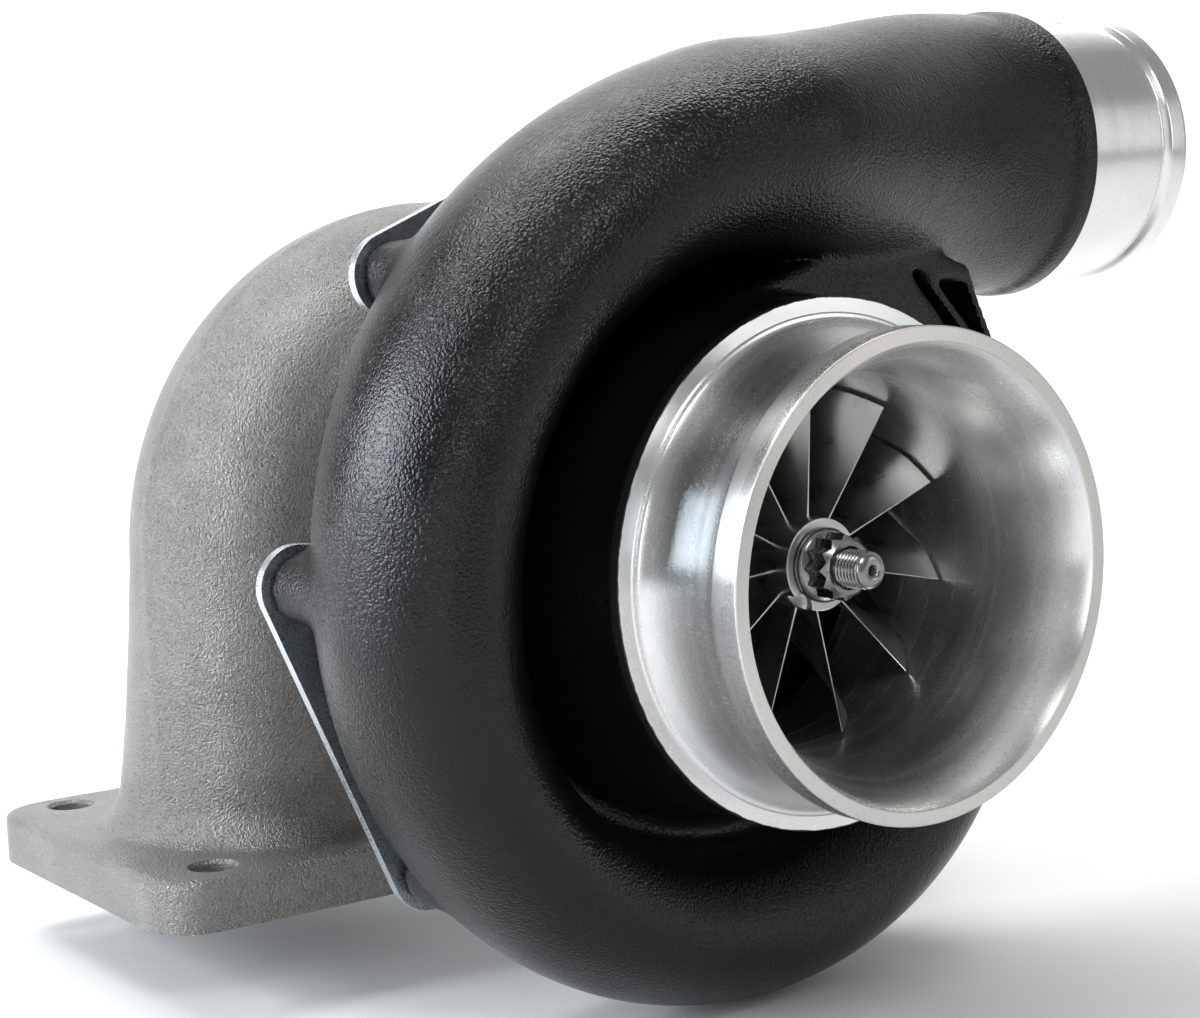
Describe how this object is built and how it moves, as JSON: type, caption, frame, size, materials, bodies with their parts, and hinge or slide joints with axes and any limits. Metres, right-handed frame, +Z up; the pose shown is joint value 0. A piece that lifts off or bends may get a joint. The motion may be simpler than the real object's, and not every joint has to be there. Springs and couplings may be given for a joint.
{
  "type": "turbocharger",
  "caption": "Turbocharger with a black scroll compressor cover, machined bell-mouth inlet, hose outlet, oil-fed centre housing and divided cast-iron turbine housing; the rotor spins.",
  "frame": {"origin": "centre of the turbine inlet flange's lower face, on the divider between its two ports", "axes": "+Z up out of the flange, +Y along the shaft from the compressor to the turbine, +X towards the compressor outlet"},
  "size_m": [0.2478, 0.2455, 0.2273],
  "materials": {
    "black_housing": "satin black coating over cast aluminium; inlet bell, lip and outlet stub machined bright",
    "zinc_steel": "bright zinc plating",
    "billet_aluminium": "machined from billet, fine tool marks",
    "plate_aluminium": "turned",
    "rubber_seal": "matte moulded",
    "fastener_steel": "plain hardened steel",
    "centre_iron": "sand cast, flanges machined",
    "turbine_iron": "warm grey, fine sand-cast grain",
    "shaft_steel": "ground journals, cast turbine wheel",
    "bronze": "turned bearing bronze",
    "stainless": "pressed sheet"
  },
  "bodies": {
    "housings": {"compressor_housing": "black_housing", "clamp_plate_1": "zinc_steel", "clamp_plate_2": "zinc_steel", "clamp_plate_3": "zinc_steel", "clamp_plate_4": "zinc_steel", "cover_bolt_1": "zinc_steel", "cover_bolt_2": "zinc_steel", "cover_bolt_3": "zinc_steel", "cover_bolt_4": "zinc_steel", "cover_bolt_5": "zinc_steel", "cover_bolt_6": "zinc_steel", "cover_bolt_7": "zinc_steel", "back_plate": "plate_aluminium", "back_plate_seal": "rubber_seal", "back_plate_bolt_1": "fastener_steel", "back_plate_bolt_2": "fastener_steel", "back_plate_bolt_3": "fastener_steel", "back_plate_bolt_4": "fastener_steel", "turbine_bolt_1": "fastener_steel", "turbine_bolt_2": "fastener_steel", "turbine_bolt_3": "fastener_steel", "turbine_bolt_4": "fastener_steel", "turbine_bolt_5": "fastener_steel", "turbine_bolt_6": "fastener_steel", "snap_ring_1": "fastener_steel", "snap_ring_2": "fastener_steel", "snap_ring_3": "fastener_steel", "compressor_seal_ring": "fastener_steel", "turbine_seal_ring": "fastener_steel", "bearing_housing": "centre_iron", "turbine_housing": "turbine_iron", "thrust_bearing": "bronze", "heat_shield": "stainless", "turbine_clamp_1": "stainless", "turbine_clamp_2": "stainless", "turbine_clamp_3": "stainless"},
    "rotor": {"compressor_wheel": "billet_aluminium", "wheel_nut": "fastener_steel", "flinger_sleeve": "shaft_steel", "thrust_collar": "shaft_steel", "turbine_shaft_wheel": "shaft_steel"},
    "front_bush": {"front_bearing": "bronze"},
    "rear_bush": {"rear_bearing": "bronze"}
  },
  "joints": [
    {"name": "rotor_spin", "type": "hinge", "parent": "housings", "child": "rotor", "pos_m": [0.062, -0.191, 0.084], "axis": [0, 1, 0], "continuous": true},
    {"name": "front_bearing_spin", "type": "hinge", "parent": "housings", "child": "front_bush", "pos_m": [0.062, -0.078, 0.084], "axis": [0, 1, 0], "continuous": true},
    {"name": "rear_bearing_spin", "type": "hinge", "parent": "housings", "child": "rear_bush", "pos_m": [0.062, -0.0485, 0.084], "axis": [0, 1, 0], "continuous": true}
  ]
}
